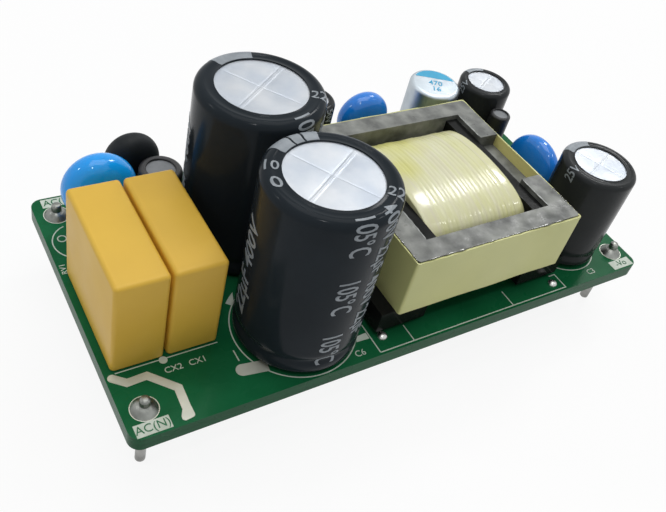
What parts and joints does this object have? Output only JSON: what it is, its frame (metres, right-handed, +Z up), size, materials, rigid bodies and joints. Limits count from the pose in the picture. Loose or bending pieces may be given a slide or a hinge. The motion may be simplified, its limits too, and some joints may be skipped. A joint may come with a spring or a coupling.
{
  "type": "open frame power supply",
  "caption": "Open-frame AC to DC power supply module: green circuit board on terminal pins, with box, can and disc capacitors and a taped ferrite transformer.",
  "frame": {"origin": "under the middle of the board, at the pin tips", "axes": "+X along the board's length towards the output end, +Z up from the pins"},
  "size_m": [0.063, 0.031, 0.0276],
  "materials": {
    "board": "semi-gloss solder mask over glass-fibre board",
    "tin": "dull tinned metal and solder",
    "yellow_case": "satin moulded case",
    "blue_coating": "glossy dipped coating",
    "black_coating": "matte dipped coating",
    "aluminium": "drawn can",
    "sleeve": "satin shrunk sleeve",
    "rubber": "moulded bung",
    "ferrite": "ground and varnished ferrite",
    "copper": "enamelled copper wire",
    "tape": "polyester tape",
    "bobbin": "moulded phenolic",
    "package": "moulded epoxy",
    "chip_body": "fired ceramic"
  },
  "bodies": {
    "root": {"circuit_board": "board", "terminal_pins": "tin", "terminal_solder": "tin", "lead_solder": "tin", "box_capacitor_left": "yellow_case", "box_capacitor_right": "yellow_case", "box_capacitor_leads": "tin", "varistor": "blue_coating", "varistor_leads": "tin", "thermistor": "black_coating", "thermistor_leads": "tin", "safety_capacitor": "blue_coating", "output_disc_capacitor": "blue_coating", "disc_capacitor_leads": "tin", "input_choke_core": "ferrite", "input_choke_winding": "copper", "input_choke_tube": "sleeve", "output_choke_core": "ferrite", "output_choke_winding": "copper", "output_choke_tube": "sleeve", "choke_leads": "tin", "bulk_capacitor_leads": "tin", "small_capacitor_leads": "tin", "polymer_capacitor_can": "aluminium", "polymer_capacitor_bung": "rubber", "transformer_core_left": "ferrite", "transformer_core_right": "ferrite", "transformer_core_tape": "tape", "transformer_bobbin": "bobbin", "transformer_winding": "copper", "transformer_coil_tape": "tape", "transformer_pins": "tin", "bridge_rectifier": "package", "control_circuit": "package", "clamp_diode": "package", "optocoupler": "package", "voltage_reference": "package", "switching_transistor": "package", "output_rectifier": "package", "package_leads": "tin", "package_heat_tabs": "tin", "chip_resistors": "chip_body", "chip_capacitors": "chip_body", "chip_terminals": "tin", "bulk_capacitor_front_can": "aluminium", "bulk_capacitor_front_sleeve": "sleeve", "bulk_capacitor_front_bung": "rubber", "bulk_capacitor_back_can": "aluminium", "bulk_capacitor_back_sleeve": "sleeve", "bulk_capacitor_back_bung": "rubber", "supply_capacitor_can": "aluminium", "supply_capacitor_sleeve": "sleeve", "supply_capacitor_bung": "rubber", "output_capacitor_front_can": "aluminium", "output_capacitor_front_sleeve": "sleeve", "output_capacitor_front_bung": "rubber", "output_capacitor_back_can": "aluminium", "output_capacitor_back_sleeve": "sleeve", "output_capacitor_back_bung": "rubber"}
  },
  "joints": []
}
